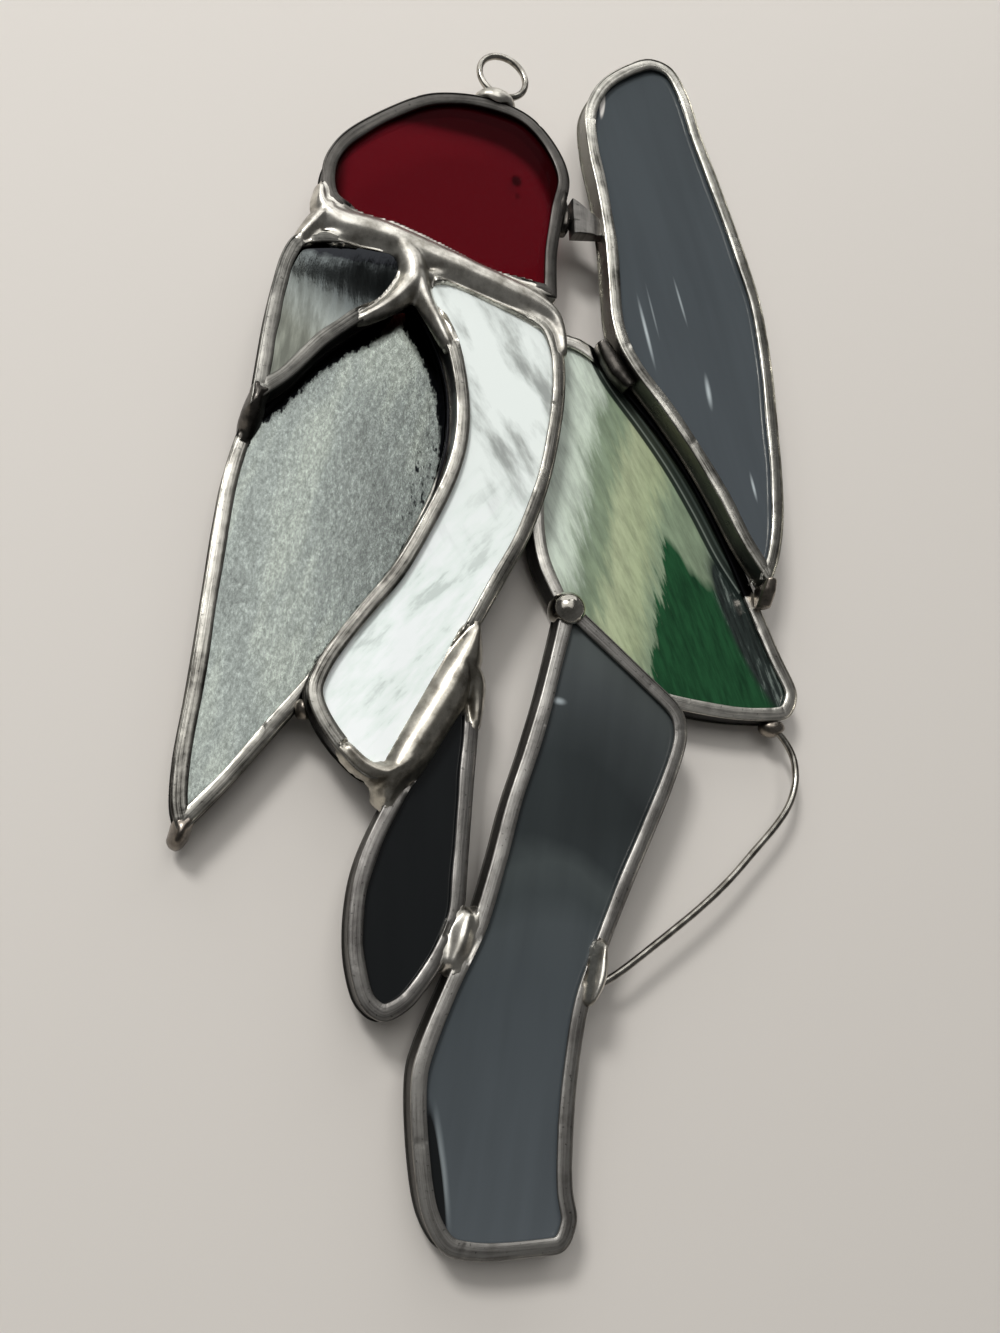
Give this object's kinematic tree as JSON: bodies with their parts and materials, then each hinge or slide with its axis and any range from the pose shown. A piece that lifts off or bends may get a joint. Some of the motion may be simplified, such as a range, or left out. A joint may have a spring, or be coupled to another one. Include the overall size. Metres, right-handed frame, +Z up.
{
  "type": "stained glass suncatcher",
  "caption": "Leaded stained glass suncatcher of a woodpecker clinging to a tree trunk, hung in a window from a small ring above its head.",
  "frame": {"origin": "centre of the hanging ring's hole, which is what holds the suncatcher up", "axes": "+Z up the hanging picture, +X to the right as seen from the front, -Y towards the viewer"},
  "size_m": [0.1394, 0.0149, 0.2792],
  "materials": {
    "red_cap_glass": "glossy sheet glass, deep red and see-through",
    "cheek_glass": "opaque dark reamy glass with a silvery face, glossy with soft waves",
    "wing_glass": "opaque dark glass with a silvery face, rolled with a fine granite texture",
    "breast_glass": "white wispy opalescent glass, glossy",
    "tail_glass": "opaque black glass, glossy",
    "leaf_glass": "streaky white, cream and green opalescent glass, glossy",
    "upper_trunk_glass": "opaque blue-gray glass with thin white streaks, glossy",
    "lower_trunk_glass": "opaque gray glass, glossy",
    "dark_lead": "milled lead strip darkened by patina, satin, with fine lengthwise lines",
    "tinned_lead": "milled lead strip brightened with solder, satin to bright, with fine lengthwise lines",
    "solder": "poured tin-lead solder, bright and rippled",
    "tinned_wire": "tinned copper wire, gray and satin"
  },
  "bodies": {
    "root": {"red_cap_glass": "red_cap_glass", "red_cap_came": "dark_lead", "cheek_glass": "cheek_glass", "cheek_came": "tinned_lead", "wing_glass": "wing_glass", "wing_came": "tinned_lead", "breast_glass": "breast_glass", "breast_came": "tinned_lead", "tail_glass": "tail_glass", "tail_came": "dark_lead", "leaf_glass": "leaf_glass", "leaf_came": "dark_lead", "upper_trunk_glass": "upper_trunk_glass", "upper_trunk_came": "tinned_lead", "lower_trunk_glass": "lower_trunk_glass", "lower_trunk_came": "dark_lead", "hanging_ring": "tinned_wire", "beak": "dark_lead", "twig_wire": "tinned_wire", "solder_head_seam": "solder", "solder_belly_seam": "solder", "solder_ring_foot": "solder", "solder_beak": "solder", "solder_cheek_tip": "solder", "solder_wing_joint": "solder", "solder_wing_tip": "solder", "solder_ball": "solder", "solder_tail_joint": "solder", "solder_twig_trunk": "solder", "solder_twig_leaf": "solder", "solder_leaf_top": "solder", "solder_trunk_tip": "solder"}
  },
  "joints": []
}
